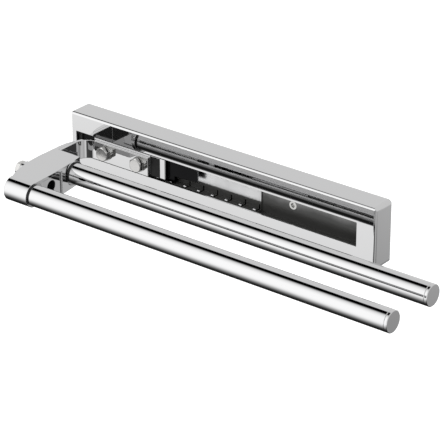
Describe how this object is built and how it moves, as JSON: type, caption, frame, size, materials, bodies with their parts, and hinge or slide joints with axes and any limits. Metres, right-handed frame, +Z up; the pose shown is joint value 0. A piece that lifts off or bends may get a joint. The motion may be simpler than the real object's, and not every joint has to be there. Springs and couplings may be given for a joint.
{
  "type": "pull-out towel rail",
  "caption": "Chromed towel rail that pulls out along a cabinet side: parallel tubes on a cranked arm, carried by a ball slide behind the long window of a rectangular casing.",
  "frame": {"origin": "middle of the plane that lies on the cabinet side, centred on the fixing holes and on the casing's back", "axes": "+X along the bars from the arm to their free ends, which is the way they pull out; +Y into the cabinet side; +Z up"},
  "size_m": [0.4375, 0.1418, 0.06],
  "materials": {
    "polished_casing": "mirror-polished chrome",
    "polished_arm": "mirror-polished chrome",
    "polished_tube": "mirror-polished chrome",
    "plated_plate": "bright plated steel",
    "zinc_steel": "satin zinc plate",
    "rail_steel": "dark, softly glossy rolled steel",
    "cage_steel": "thin bright rolled steel",
    "ball_steel": "ground and polished",
    "plated_screw": "bright zinc plate",
    "stop_rubber": "matt black",
    "collar_plastic": "matt black",
    "plug_plastic": "moulded grey"
  },
  "bodies": {
    "fixed_part": {"casing": "polished_casing", "base_plate": "zinc_steel", "cover_screws": "plated_screw", "outer_rail": "rail_steel", "rail_screws": "plated_screw", "rail_nuts": "zinc_steel", "arm_end_stop": "stop_rubber", "free_end_stop": "stop_rubber"},
    "cage": {"ball_cage": "cage_steel", "upper_balls": "ball_steel", "lower_balls": "ball_steel"},
    "carriage": {"inner_rail": "zinc_steel", "spacer_plate": "plated_plate", "nut_plate": "zinc_steel", "flange_bolts": "plated_screw", "flange_washers": "plated_screw", "arm_strap": "polished_arm", "arm_head": "polished_arm", "head_bolt": "plated_screw", "head_washer": "plated_screw", "lock_screws": "plated_screw", "front_bar": "polished_tube", "rear_bar": "polished_tube", "front_plug": "plug_plastic", "rear_plug": "plug_plastic", "front_collar": "collar_plastic", "rear_collar": "collar_plastic", "front_cap": "polished_tube", "rear_cap": "polished_tube"}
  },
  "joints": [
    {"name": "carriage_slide", "type": "slide", "parent": "fixed_part", "child": "carriage", "axis": [1, 0, 0], "range_m": [0, 0.19]},
    {"name": "cage_slide", "type": "slide", "parent": "fixed_part", "child": "cage", "axis": [1, 0, 0], "range_m": [0, 0.095]}
  ],
  "couplings": [
    {"joint": "cage_slide", "follows": "carriage_slide", "ratio": 0.5}
  ]
}
